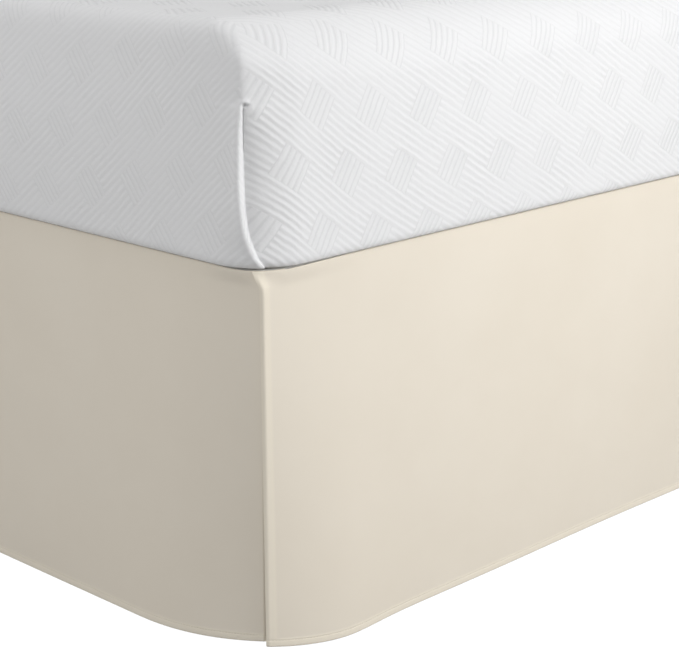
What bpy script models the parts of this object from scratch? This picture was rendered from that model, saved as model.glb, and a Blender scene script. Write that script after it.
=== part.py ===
"""A tailored bed skirt with split corners, hanging round a queen-size bed.

Metres, +Z up. The origin is on the floor under the middle of the bed, +Y runs towards the head and
-Y is the foot. The skirt is four pieces of cloth: a deck that lies on the foundation, two side
panels and a foot panel, which laps over the end of a side panel at each corner of the foot.
"""

import math

import bmesh
import bpy
import numpy as np

# Mattress: its plan size, its depth and its rounded edges
MATTRESS_WIDTH = 1.524
MATTRESS_LENGTH = 2.032
MATTRESS_DEPTH = 0.216
MATTRESS_CORNER = 0.055
MATTRESS_TOP_EDGE = 0.055
MATTRESS_BOTTOM_EDGE = 0.009
MATTRESS_SIDE_CROWN = 0.004
MATTRESS_TOP_CROWN = 0.007
TOP_CROWN_STEPS = ((0.13, 0.45), (0.30, 0.85), (0.52, 1.0))  # inset from the side, share of the crown
SMALLEST_CORNER = 0.004

# The cover's fold at each foot corner: a rolled ridge that leans from the side to the corner's middle
FOLD_HEIGHT = 0.0035
FOLD_HALF_WIDTH = 0.006
FOLD_TOP = 0.508
FOLD_FADE = 0.012
FOLD_PROFILE = ((-1.0, 0.0), (-0.5, 0.75), (0.0, 1.0), (0.5, 0.75), (1.0, 0.0))  # place, share of height
FOLD_COURSE = (  # height, degrees from the side's normal towards the foot's
    (0.366, 53.0),
    (0.380, 46.0),
    (0.393, 42.0),
    (0.420, 37.0),
    (0.460, 35.0),
    (0.510, 37.0),
)
FOLD_MOST_SPREAD = 12.0  # degrees

# Foundation: a padded box that the mattress overhangs on every side
OVERHANG = 0.013
FOUNDATION_TOP = 0.362
FOUNDATION_DEPTH = 0.228
FOUNDATION_CORNER = 0.090
FOUNDATION_EDGE = 0.008

# Cloth: its thickness, the narrow hem at the lower edge, and the room that it keeps
CLOTH = 0.0016
DECK_CLOTH = 0.0015
HEM_THICKNESS = 0.0024
HEM_HEIGHT = 0.008
CLEARANCE = 0.002
GAP = 0.0003
DECK_CORNER = 0.030
DECK_REACH = 0.0011  # how far the deck's edge stands out past the foundation's side
HEM_FLOOR = 0.009

# The lap at a split corner: its width, how its two halves turn away from the side panel's plane
# below the seam and at the hem, where the panels part at the seam, and the room that the foot panel
# leaves for it
LAP = 0.024
LAP_COLUMNS = (1.0, 0.75, 0.5, 0.25)
HANGING_LAP_TURNS = (math.radians(90), math.radians(90))
HEM_LAP_TURNS = (math.radians(75), math.radians(55))
SPLIT_ANGLE = math.radians(45)
LAP_STEP = CLOTH + 0.0014
LAP_SETTLE = 0.11  # the foot panel's step over the lap fades out over this distance

# The foot panel's free end bends round the corner and stops there
BEND_RADIUS = 0.0015
BEND_STEPS = 4
HANGING_BEND = math.radians(80)
HEM_BEND = math.radians(32)
WRAP = 0.0024

# The seam follows the deck's round corner. From this drop on the panels hang flat to a sharp corner
SHOULDER = 0.016
SIDE_HANG = {"plane": 0.0102, "start": 0.0132, "reach": 0.090, "depth": 0.0085, "power": 1.3, "rise": 0.0}
FOOT_HANG = {"plane": 0.0102, "start": 0.0180, "reach": 0.100, "depth": 0.0, "power": 2.0, "rise": 0.0}

# How each panel's hem turns in towards the split, and how much it rises there
SIDE_END = {"plane": 0.0030, "start": 0.032, "reach": 0.140, "depth": 0.030, "power": 2.2, "rise": 0.009}
FOOT_END = {"plane": 0.0030, "start": 0.033, "reach": 0.090, "depth": 0.021, "power": 2.4, "rise": 0.0065}
FOOT_BULGE = {"centre": 0.118, "width": 0.045, "depth": 0.004}

# Slow waves in the hem of each panel: wavelength and depth in metres, and phase in radians
WAVES = {
    "side_panel_left": ((0.83, 0.0016, 0.4), (0.47, 0.0008, 2.1)),
    "side_panel_right": ((0.76, 0.0018, 1.9), (0.51, 0.0009, 0.3)),
    "foot_panel": ((0.69, 0.0009, 1.2), (0.38, 0.0005, 2.6)),
}
WAVE_START = 0.10  # the waves begin this far from a split corner
WAVE_FADE = 0.30  # and fade in over this distance

# Frame under the foundation
RAIL = 0.025
RAIL_INSET = 0.150
LONG_RAIL_SHORT = 0.04  # how far a rail's ends stop short of the foundation's
CROSS_RAIL_SHORT = 0.06
LEG_RADIUS = 0.019
FOOT_RADIUS = 0.026
FOOT_HEIGHT = 0.010

# How finely the cloth and the padded pieces are divided
LINE_STEPS = 25
BENT_LENGTH = 0.40  # no end is bent further than this from the corner
FIRST_STEP = 0.009
STEP_GROWTH = 1.22
LONGEST_STEP = 0.085
DROP_ROWS = (0.0, 0.005, 0.013, 0.021, 0.03, 0.045, 0.1, 0.25, 0.42, 0.6, 0.78, 0.9)
WAVE_GROWTH = 1.5  # the power by which a wave grows down the drop
CORNER_STEPS = 7
SIDE_STEPS = 6
MATTRESS_EDGE_STEPS = {"bottom": 3, "top": 5}
MATTRESS_SIDE_LEVELS = (0.1, 0.25, 0.45, 0.65, 0.82, 0.9)
FOUNDATION_EDGE_STEPS = 3
LEG_SIDES = 20
CHAMFER = 0.002

HALF_WIDTH = MATTRESS_WIDTH / 2
HALF_LENGTH = MATTRESS_LENGTH / 2
DECK_BOTTOM = FOUNDATION_TOP + GAP
PANEL_TOP = DECK_BOTTOM + DECK_CLOTH
MATTRESS_BOTTOM = PANEL_TOP + GAP
FOUNDATION_BOTTOM = FOUNDATION_TOP - FOUNDATION_DEPTH


def empty_scene():
    for old in list(bpy.data.objects):
        bpy.data.objects.remove(old, do_unlink=True)


def material(name, colour, roughness, metallic=0.0):
    made = bpy.data.materials.new(name)
    made.use_nodes = True
    shader = made.node_tree.nodes["Principled BSDF"]
    shader.inputs["Base Color"].default_value = (*colour, 1.0)
    shader.inputs["Roughness"].default_value = roughness
    shader.inputs["Metallic"].default_value = metallic
    return made


def add_object(name, shape, look, parent, smooth_angle=math.radians(40)):
    mesh = bpy.data.meshes.new(name)
    bmesh.ops.recalc_face_normals(shape, faces=shape.faces)
    shape.to_mesh(mesh)
    shape.free()
    mesh.shade_smooth()
    mesh.set_sharp_from_angle(angle=smooth_angle)
    mesh.materials.append(look)
    made = bpy.data.objects.new(name, mesh)
    bpy.context.collection.objects.link(made)
    made.parent = parent
    return made


# Padded pieces are stacks of rounded rectangles


def corner_turn(first_angle, radius, fold):
    """(angle in degrees, extra radius) round a quarter turn, closer together across a fold."""
    if fold is None:
        return [(angle, 0.0) for angle in np.linspace(first_angle, first_angle + 90, CORNER_STEPS + 1)]
    middle, height = fold
    spread = min(math.degrees(FOLD_HALF_WIDTH / radius), FOLD_MOST_SPREAD)
    steps = CORNER_STEPS // 2 + 1
    turn = [(angle, 0.0) for angle in np.linspace(first_angle, middle - spread, steps)[:-1]]
    turn += [(middle + spread * place, height * share) for place, share in FOLD_PROFILE]
    return turn + [(angle, 0.0) for angle in np.linspace(middle + spread, first_angle + 90, steps)[1:]]


def rounded_rectangle(half_x, half_y, radius, bow=0.0, fold=None):
    """Points counter-clockwise round a rectangle with round corners, its sides bowed out by bow.

    fold is (degrees from the side's normal, height) of the ridge at the two foot corners.
    """
    radius = max(radius, SMALLEST_CORNER)
    right_fold = fold and (-fold[0], fold[1])
    left_fold = fold and (180 + fold[0], fold[1])
    corners = ((1, -1, -90, right_fold), (1, 1, 0, None), (-1, 1, 90, None), (-1, -1, 180, left_fold))
    points = []
    for index, (side_x, side_y, first_angle, ridge) in enumerate(corners):
        centre = np.array((side_x * (half_x - radius), side_y * (half_y - radius)))
        for degrees, extra in corner_turn(first_angle, radius, ridge):
            angle = math.radians(degrees)
            points.append(centre + (radius + extra) * np.array((math.cos(angle), math.sin(angle))))
        turned = math.radians(first_angle + 90)
        outward = np.array((math.cos(turned), math.sin(turned)))
        next_x, next_y, _, _ = corners[(index + 1) % 4]
        start = points[-1]
        next_centre = np.array((next_x * (half_x - radius), next_y * (half_y - radius)))
        end = next_centre + radius * outward
        for step in range(1, SIDE_STEPS):
            share = step / SIDE_STEPS
            points.append(start + share * (end - start) + outward * bow * math.sin(math.pi * share))
    return points


def stack(levels):
    """A closed solid through rounded rectangles, each level (half_x, half_y, radius, z, bow, fold)."""
    shape = bmesh.new()
    rings = []
    for half_x, half_y, radius, height, *extras in levels:
        outline = rounded_rectangle(half_x, half_y, radius, *extras)
        rings.append([shape.verts.new((x, y, height)) for x, y in outline])
    for lower, upper in zip(rings, rings[1:]):
        for index in range(len(lower)):
            after = (index + 1) % len(lower)
            shape.faces.new((lower[index], lower[after], upper[after], upper[index]))
    shape.faces.new(list(reversed(rings[0])))
    shape.faces.new(rings[-1])
    return shape


def edge_levels(radius, steps, upper):
    """(inset, height from the edge's flat end) round a quarter circle, from bottom to top."""
    quarter = []
    for step in range(steps + 1):
        angle = math.radians(90 * step / steps)
        quarter.append((radius * (1 - math.sin(angle)), radius * (1 - math.cos(angle))))
    if not upper:
        return quarter
    return [(inset, -height) for inset, height in reversed(quarter)]


def fold_at(height):
    """Where the fold stands at a height, in degrees from the side's normal, and how high it is."""
    levels, angles = zip(*FOLD_COURSE)
    share = min(max((FOLD_TOP - height) / FOLD_FADE, 0.0), 1.0)
    return float(np.interp(height, levels, angles)), FOLD_HEIGHT * share


def mattress_shape():
    top = MATTRESS_BOTTOM + MATTRESS_DEPTH - MATTRESS_TOP_CROWN
    low = edge_levels(MATTRESS_BOTTOM_EDGE, MATTRESS_EDGE_STEPS["bottom"], upper=False)
    high = edge_levels(MATTRESS_TOP_EDGE, MATTRESS_EDGE_STEPS["top"], upper=True)
    profile = [(inset, MATTRESS_BOTTOM + height) for inset, height in low]
    span = top + high[0][1] - profile[-1][1]
    for share in MATTRESS_SIDE_LEVELS:
        profile.append((0.0, low[-1][1] + MATTRESS_BOTTOM + share * span))
    profile += [(inset, top + height) for inset, height in high]
    levels = []
    for inset, height in profile:
        rise = (height - MATTRESS_BOTTOM) / (top - MATTRESS_BOTTOM)
        bow = MATTRESS_SIDE_CROWN * math.sin(math.pi * min(max(rise, 0.0), 1.0))
        size = (HALF_WIDTH - inset, HALF_LENGTH - inset, MATTRESS_CORNER - inset, height)
        levels.append((*size, bow, fold_at(height)))
    for inset, share in TOP_CROWN_STEPS:
        height = top + share * MATTRESS_TOP_CROWN
        size = (HALF_WIDTH - inset, HALF_LENGTH - inset, SMALLEST_CORNER, height)
        levels.append((*size, 0.0, fold_at(height)))
    return stack(levels)


def foundation_half_sizes():
    return HALF_WIDTH - OVERHANG, HALF_LENGTH - OVERHANG


def foundation_shape():
    half_x, half_y = foundation_half_sizes()
    low = edge_levels(FOUNDATION_EDGE, FOUNDATION_EDGE_STEPS, upper=False)
    high = edge_levels(FOUNDATION_EDGE, FOUNDATION_EDGE_STEPS, upper=True)
    profile = [(inset, FOUNDATION_BOTTOM + height) for inset, height in low]
    profile += [(inset, FOUNDATION_TOP + height) for inset, height in high]
    return stack([(half_x - i, half_y - i, FOUNDATION_CORNER - i, z) for i, z in profile])


def deck_shape():
    half_x, half_y = foundation_half_sizes()
    size = (half_x + DECK_REACH, half_y + DECK_REACH, DECK_CORNER + DECK_REACH)
    return stack([(*size, DECK_BOTTOM), (*size, DECK_BOTTOM + DECK_CLOTH)])


# Panels are drawn in a corner's own frame: x and y are distances inwards from the mattress's two
# sides, and a panel's line runs from its free end at the split away along the bed


def eased(share):
    """0 to 1 with a level start and end."""
    return share * share * (3 - 2 * share)


def resampled(line, distances):
    line = np.array(line)
    along = np.concatenate(([0.0], np.cumsum(np.linalg.norm(np.diff(line, axis=0), axis=1))))
    return np.stack([np.interp(distances, along, line[:, axis]) for axis in range(line.shape[1])], axis=1)


def top_line(end_angle, step, far):
    """The upper edge of an end, as (across, along, height): round the deck's corner, then straight.

    across is inwards from the panel's own side, and along is the distance from the other side.
    """
    middle = OVERHANG + DECK_CORNER
    radius = DECK_CORNER + CLEARANCE + CLOTH / 2 + step
    line = []
    for angle in np.linspace(end_angle, 0.0, LINE_STEPS):
        line.append((middle - radius * math.cos(angle), middle - radius * math.sin(angle), PANEL_TOP))
    for share in np.linspace(0.0, 1.0, LINE_STEPS)[1:]:
        line.append((middle - radius + step * eased(share), middle + LAP_SETTLE * share, PANEL_TOP))
    line.append((line[-1][0], far, PANEL_TOP))
    return line


def turned_end(line, lengths, turns):
    """Puts points before a line's first, each a length on along a heading that turns in from the line's."""
    point = np.array(line[0])
    made = []
    for length, turn in zip(lengths, turns):
        point = point + length * np.array((math.sin(turn), -math.cos(turn), 0.0))
        made.insert(0, tuple(point))
    return made + line


def lapped(line, turns):
    return turned_end(line, [LAP / len(turns)] * len(turns), turns)


def wrapped(line, end, turn):
    """A line whose free end bends round by the turn, from the line's own slope, and runs on a little."""
    slope = math.atan(end["power"] * end["depth"] / end["reach"])
    arc = turn / BEND_STEPS
    turns = [slope + arc * (step + 0.5) for step in range(BEND_STEPS)] + [slope + turn]
    return turned_end(line, [BEND_RADIUS * arc] * BEND_STEPS + [WRAP], turns)


def wrap_length(turn):
    return BEND_RADIUS * turn + WRAP


def end_line(end, height, far):
    """A panel's line at a height in the same frame, turned in towards the split and risen there."""
    line = []
    for share in np.linspace(0.0, 1.0, LINE_STEPS):
        left = 1 - share
        along = end["start"] + end["reach"] * share
        across = end["plane"] + end["depth"] * left ** end["power"]
        line.append((across, along, height + end["rise"] * left * left))
    for along in np.linspace(line[-1][1], BENT_LENGTH, LINE_STEPS)[1:]:
        line.append((end["plane"], along, height))
    line.append((end["plane"], far, height))
    return line


def bulged(line):
    """The foot's hem stands out a little beside the split, as a smooth hump."""
    centre, width, depth = (FOOT_BULGE[key] for key in ("centre", "width", "depth"))
    return [
        (across - depth * math.exp(-(((along - centre) / width) ** 2)), along, height)
        for across, along, height in line
    ]


def growing_steps(length):
    """Distances from a free end whose steps grow from the first step to the longest."""
    marks = [0.0]
    step = FIRST_STEP
    while marks[-1] + step < length:
        marks.append(marks[-1] + step)
        step = min(step * STEP_GROWTH, LONGEST_STEP)
    if length - marks[-1] < step / 2:
        marks.pop()
    return marks + [length]


def wave(name, distance, from_split):
    fade = eased(min(max((from_split - WAVE_START) / WAVE_FADE, 0.0), 1.0))
    turn = 2 * math.pi * distance
    return fade * sum(depth * math.sin(turn / length + phase) for length, depth, phase in WAVES[name])


def end_columns(lines, distances, lap, length):
    """The points of an end's columns on each line, the same share of the way along every line."""
    share = (np.array(distances) + lap) / (length + lap)
    made = []
    for line in lines:
        line_length = float(np.linalg.norm(np.diff(np.array(line), axis=0), axis=1).sum())
        made.append(resampled(line, share * line_length))
    return zip(*made)


def drop_rows():
    return (*DROP_ROWS, 1 - HEM_HEIGHT / (PANEL_TOP - HEM_FLOOR), 1.0)


def panel_object(name, columns, look, parent):
    """A sheet of cloth through columns of points on the seam, the hanging line and the hem.

    Each column ends with its outward direction and the depth of its wave. The hem is thicker.
    """
    shape = bmesh.new()
    rows = drop_rows()
    grid = []
    for seam, top, hem, outward, depth in columns:
        line = []
        for share in rows:
            point = top + (hem - top) * share + outward * depth * share**WAVE_GROWTH
            sewn = 1 - eased(min(share * (PANEL_TOP - HEM_FLOOR) / SHOULDER, 1.0))
            line.append(shape.verts.new(point + (seam - top) * sewn))
        grid.append(line)
    for first, second in zip(grid, grid[1:]):
        for row in range(len(rows) - 1):
            shape.faces.new((first[row], second[row], second[row + 1], first[row + 1]))
    made = add_object(name, shape, look, parent)
    hem_group = made.vertex_groups.new(name="hem")
    for index in range(len(columns)):
        first = index * len(rows)
        last = first + len(rows) - 1
        hem_group.add(list(range(first, last - 1)), CLOTH / HEM_THICKNESS, "REPLACE")
        hem_group.add([last - 1, last], 1.0, "REPLACE")
    thickness = made.modifiers.new("cloth", "SOLIDIFY")
    thickness.thickness = HEM_THICKNESS
    thickness.offset = 0.0
    thickness.vertex_group = "hem"
    thickness.use_quality_normals = True
    return made


def side_panel(name, side, look, parent):
    """One long side, from the lap behind the foot panel to the head end of the foundation."""
    far = MATTRESS_LENGTH - OVERHANG
    lines = (
        top_line(SPLIT_ANGLE + LAP / (DECK_CORNER + CLEARANCE), 0.0, far),
        lapped(end_line(SIDE_HANG, PANEL_TOP, far), HANGING_LAP_TURNS),
        lapped(end_line(SIDE_END, HEM_FLOOR, far), HEM_LAP_TURNS[::-1]),
    )
    distances = [-LAP * share for share in LAP_COLUMNS] + growing_steps(far - OVERHANG)
    outward = np.array((side, 0.0, 0.0))
    columns = []
    for distance, *points in zip(distances, *zip(*end_columns(lines, distances, LAP, distances[-1]))):
        points = [np.array((side * (HALF_WIDTH - p[0]), p[1] - HALF_LENGTH, p[2])) for p in points]
        columns.append((*points, outward, wave(name, distance, distance)))
    return panel_object(name, columns if side < 0 else columns[::-1], look, parent)


def foot_panel(name, look, parent):
    """The foot, whose two free ends lap over the side panels and bend round the corners."""
    wrap = wrap_length(HANGING_BEND)
    seam_radius = DECK_CORNER + CLEARANCE + CLOTH / 2 + LAP_STEP
    lines = (
        top_line(SPLIT_ANGLE + wrap / seam_radius, LAP_STEP, HALF_WIDTH),
        wrapped(end_line(FOOT_HANG, PANEL_TOP, HALF_WIDTH), FOOT_HANG, HANGING_BEND),
        wrapped(bulged(end_line(FOOT_END, HEM_FLOOR, HALF_WIDTH)), FOOT_END, HEM_BEND),
    )
    bend = BEND_RADIUS * HANGING_BEND
    distances = [-wrap] + [-bend * step / BEND_STEPS for step in range(BEND_STEPS, 0, -1)]
    distances += growing_steps(HALF_WIDTH - OVERHANG)
    outward = np.array((0.0, -1.0, 0.0))
    mirror = np.array((-1.0, 1.0, 1.0))
    left, right = [], []
    for distance, *points in zip(distances, *zip(*end_columns(lines, distances, wrap, distances[-1]))):
        points = [np.array((p[1] - HALF_WIDTH, p[0] - HALF_LENGTH, p[2])) for p in points]
        place = points[1][0]
        left.append((*points, outward, wave(name, place, distance)))
        right.append((*(point * mirror for point in points), outward, wave(name, -place, distance)))
    return panel_object(name, left + right[-2::-1], look, parent)


# The frame: three long rails on three cross rails, with a leg under each crossing


def bar(name, size, centre, look, parent):
    shape = bmesh.new()
    bmesh.ops.create_cube(shape, size=1.0)
    bmesh.ops.scale(shape, vec=size, verts=shape.verts)
    bmesh.ops.bevel(shape, geom=shape.edges[:], offset=CHAMFER, segments=1, affect="EDGES")
    made = add_object(name, shape, look, parent, math.radians(60))
    made.location = centre
    return made


def leg(name, height, centre, look, parent):
    """A round leg on a wider foot, turned from a profile whose underside is flat."""
    profile = (
        (FOOT_RADIUS - CHAMFER, 0.0),
        (FOOT_RADIUS, CHAMFER),
        (FOOT_RADIUS, FOOT_HEIGHT - CHAMFER),
        (LEG_RADIUS, FOOT_HEIGHT),
        (LEG_RADIUS, height),
    )
    shape = bmesh.new()
    rings = []
    for radius, level in profile:
        angles = [2 * math.pi * index / LEG_SIDES for index in range(LEG_SIDES)]
        rings.append([shape.verts.new((radius * math.cos(a), radius * math.sin(a), level)) for a in angles])
    for lower, upper in zip(rings, rings[1:]):
        for index in range(LEG_SIDES):
            after = (index + 1) % LEG_SIDES
            shape.faces.new((lower[index], lower[after], upper[after], upper[index]))
    shape.faces.new(rings[0][::-1])
    shape.faces.new(rings[-1])
    made = add_object(name, shape, look, parent)
    made.location = centre
    return made


def build_frame(parent, rail_look, leg_look):
    half_x, half_y = foundation_half_sizes()
    spread_x = half_x - RAIL_INSET
    spread_y = half_y - RAIL_INSET
    rail_top = FOUNDATION_BOTTOM - GAP
    rail_level = rail_top - RAIL / 2
    cross_level = rail_level - RAIL - GAP
    leg_height = cross_level - RAIL / 2 - GAP
    places_x = {"left": -spread_x, "middle": 0.0, "right": spread_x}
    places_y = {"foot": -spread_y, "middle": 0.0, "head": spread_y}
    for label, x in places_x.items():
        size = (RAIL, 2 * (half_y - LONG_RAIL_SHORT), RAIL)
        bar(f"long_rail_{label}", size, (x, 0.0, rail_level), rail_look, parent)
    for label, y in places_y.items():
        size = (2 * (half_x - CROSS_RAIL_SHORT), RAIL, RAIL)
        bar(f"cross_rail_{label}", size, (0.0, y, cross_level), rail_look, parent)
        for side, x in places_x.items():
            leg(f"leg_{label}_{side}", leg_height, (x, y, 0.0), leg_look, parent)


def main():
    empty_scene()
    bed = bpy.data.objects.new("bed", None)
    bpy.context.collection.objects.link(bed)

    skirt_cloth = material("skirt_cloth", (0.76, 0.71, 0.62), 0.85)
    deck_cloth = material("deck_cloth", (0.80, 0.78, 0.74), 0.90)
    mattress_cover = material("mattress_cover", (0.88, 0.88, 0.89), 0.80)
    foundation_cover = material("foundation_cover", (0.74, 0.73, 0.71), 0.90)
    rail_metal = material("rail_metal", (0.10, 0.10, 0.11), 0.45, 0.6)
    leg_plastic = material("leg_plastic", (0.05, 0.05, 0.05), 0.55)

    add_object("mattress", mattress_shape(), mattress_cover, bed)
    add_object("foundation", foundation_shape(), foundation_cover, bed)
    add_object("deck", deck_shape(), deck_cloth, bed)
    side_panel("side_panel_left", -1, skirt_cloth, bed)
    side_panel("side_panel_right", 1, skirt_cloth, bed)
    foot_panel("foot_panel", skirt_cloth, bed)
    build_frame(bed, rail_metal, leg_plastic)


main()
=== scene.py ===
"""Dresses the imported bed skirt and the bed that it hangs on, and lights it as a studio picture.

Metres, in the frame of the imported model: the floor is z = 0, the foot of the bed is at -Y and the
head at +Y. The panels repeat the course of the solids in their own finer grid.
"""

import math

import bmesh
import bpy
import numpy as np
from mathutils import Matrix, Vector


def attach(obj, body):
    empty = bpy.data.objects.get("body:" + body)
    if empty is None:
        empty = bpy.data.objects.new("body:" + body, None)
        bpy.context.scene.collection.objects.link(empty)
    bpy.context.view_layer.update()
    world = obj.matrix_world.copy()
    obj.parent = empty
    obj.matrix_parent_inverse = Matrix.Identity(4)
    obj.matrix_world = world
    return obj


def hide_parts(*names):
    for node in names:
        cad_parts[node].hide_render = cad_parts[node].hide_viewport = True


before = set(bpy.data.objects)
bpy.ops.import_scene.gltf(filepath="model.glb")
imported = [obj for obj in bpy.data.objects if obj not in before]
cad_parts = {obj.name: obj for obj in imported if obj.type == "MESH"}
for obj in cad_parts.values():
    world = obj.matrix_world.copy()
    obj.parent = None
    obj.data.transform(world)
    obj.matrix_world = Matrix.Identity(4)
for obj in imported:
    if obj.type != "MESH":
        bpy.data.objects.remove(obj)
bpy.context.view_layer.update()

# Sizes that the solids have too
HALF_WIDTH = 0.762
HALF_LENGTH = 1.016
MATTRESS_CORNER = 0.055
MATTRESS_BOTTOM = 0.3641
MATTRESS_TOP = 0.5801
SIDE_CROWNS = (0.007, 0.004)  # the long sides bulge more than the foot and the head
TOP_CROWN = 0.007
OVERHANG = 0.013
DECK_CORNER = 0.030
DECK_REACH = 0.0011
CLEARANCE = 0.002
SOLID_CLOTH = 0.0016
PANEL_TOP = 0.3638
HEM_FLOOR = 0.009
DROP = PANEL_TOP - HEM_FLOOR
LAP = 0.024
HANGING_LAP_TURNS = (math.radians(90), math.radians(90))
HEM_LAP_TURNS = (math.radians(75), math.radians(55))
SPLIT_ANGLE = math.radians(45)
LAP_STEP = 0.0030
LAP_SETTLE = 0.11
BEND_RADIUS = 0.0015
BEND_STEPS = 8
HANGING_BEND = math.radians(80)
HEM_BEND = math.radians(32)
WRAP = 0.0024
SHOULDER = 0.016
# A panel's line beside the split, at its top and at its hem: its plane, where it starts, how far it
# takes to straighten, how deep it turns in, the power of that curve, and how far its end rises
SIDE_HANG = (0.0102, 0.0132, 0.090, 0.0085, 1.3, 0.0)
FOOT_HANG = (0.0102, 0.0180, 0.100, 0.0, 2.0, 0.0)
SIDE_END = (0.0030, 0.032, 0.140, 0.030, 2.2, 0.009)
FOOT_END = (0.0030, 0.033, 0.090, 0.021, 2.4, 0.0065)
FOOT_BULGE = (0.118, 0.045, 0.004)  # centre, width, depth
# Slow waves of each panel: length, depth, phase
WAVES = {
    "side_panel_left": ((0.83, 0.0016, 0.4), (0.47, 0.0008, 2.1)),
    "side_panel_right": ((0.76, 0.0018, 1.9), (0.51, 0.0009, 0.3)),
    "foot_panel": ((0.69, 0.0009, 1.2), (0.38, 0.0005, 2.6)),
}
WAVE_START = 0.10
WAVE_FADE = 0.30
WAVE_GROWTH = 1.5
LINE_STEPS = 25
BENT_LENGTH = 0.40
FOUNDATION_TOP = 0.362
FOUNDATION_BOTTOM = 0.134
FOUNDATION_CORNER = 0.090
BASE_HALVES = (HALF_WIDTH - OVERHANG, HALF_LENGTH - OVERHANG)  # half sizes of the foundation

# Cloth of the skirt as it is drawn here
CLOTH = 0.0011
HEM_HEIGHT = 0.0080
HEM_OUTER = 0.00022  # how far the folded hem stands proud of the outer face
HEM_INNER = 0.00095  # and of the inner face
STITCH_RISE = 0.0064  # the stitch line's height above the lower edge
STITCH_GROOVE = 0.00030
SIDE_HEM = 0.0045  # width of the narrow hem beside each free end
SIDE_HEM_INNER = 0.0005
HEM_BLEND = 0.0010
SIDE_BLEND = 0.0012
SEAM_WIDTH = 0.0006
PUCKER = 0.00013  # height of the puckers at the stitches
PUCKER_WIDTH = 0.0042
RIM = 0.00035


# Small tools


def eased(share):
    """0 to 1 with a level start and end."""
    share = np.clip(share, 0.0, 1.0)
    return share * share * (3 - 2 * share)


def hump(value, centre, width):
    return np.exp(-(((value - centre) / width) ** 2))


def unit(vectors):
    return vectors / np.linalg.norm(vectors, axis=-1, keepdims=True)


def build_mesh(name, vertices, quads, material, uvs=None, caps=(), second_uvs=None):
    """An object from arrays: vertices (..., 3), quads (..., 4), uvs (n, 2) or (m, 4, 2), caps as lists."""
    mesh = bpy.data.meshes.new(name)
    vertices = np.asarray(vertices, np.float32).reshape(-1, 3)
    quads = quads.reshape(-1, 4)
    corners = np.concatenate([quads.ravel(), *[np.array(cap) for cap in caps]]).astype(np.int32)
    sizes = np.array([4] * len(quads) + [len(cap) for cap in caps])
    starts = np.concatenate(([0], np.cumsum(sizes)[:-1])).astype(np.int32)
    mesh.vertices.add(len(vertices))
    mesh.vertices.foreach_set("co", vertices.ravel())
    mesh.loops.add(len(corners))
    mesh.loops.foreach_set("vertex_index", corners)
    mesh.polygons.add(len(sizes))
    mesh.polygons.foreach_set("loop_start", starts)
    mesh.update(calc_edges=True)
    for label, values in (("UVMap", uvs), ("quilt", second_uvs)):
        if values is None:
            continue
        values = np.asarray(values)
        if values.ndim == 2:
            per_corner = values[corners]
        else:
            rest = [np.zeros((len(cap), 2)) for cap in caps]
            per_corner = np.concatenate([values.reshape(-1, 2), *rest])
        layer = mesh.uv_layers.new(name=label)
        layer.data.foreach_set("uv", np.asarray(per_corner, np.float32).ravel())
    mesh.validate()
    mesh.shade_smooth()
    mesh.materials.append(material)
    made = bpy.data.objects.new(name, mesh)
    bpy.context.collection.objects.link(made)
    return made


def grid_quads(columns, rows, closed=False):
    """Index quads of a grid whose vertex (i, j) has index i * rows + j."""
    last = columns if closed else columns - 1
    i, j = np.meshgrid(np.arange(last), np.arange(rows - 1), indexing="ij")
    after = (i + 1) % columns
    quads = np.stack([i * rows + j, after * rows + j, after * rows + j + 1, i * rows + j + 1], axis=-1)
    return quads.reshape(-1, 4)


def ring_caps(count, rows):
    """The bottom and top faces of a grid that closes round."""
    return [[i * rows for i in range(count)][::-1], [i * rows + rows - 1 for i in range(count)]]


def facing(grid, outward):
    """A grid's normals on its outward side."""
    normals = unit(np.cross(np.gradient(grid, axis=0), np.gradient(grid, axis=1)))
    return normals * np.sign((normals.mean(axis=(0, 1)) * outward).sum())


def running(line):
    """Distance along a line at each of its points."""
    return np.concatenate(([0.0], np.cumsum(np.linalg.norm(np.diff(np.array(line), axis=0), axis=1))))


def face_up(made):
    """Makes a closed mesh's faces look outwards, and returns its object."""
    shape = bmesh.new()
    shape.from_mesh(made.data)
    bmesh.ops.recalc_face_normals(shape, faces=shape.faces)
    shape.to_mesh(made.data)
    shape.free()
    return made


# Materials


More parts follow.
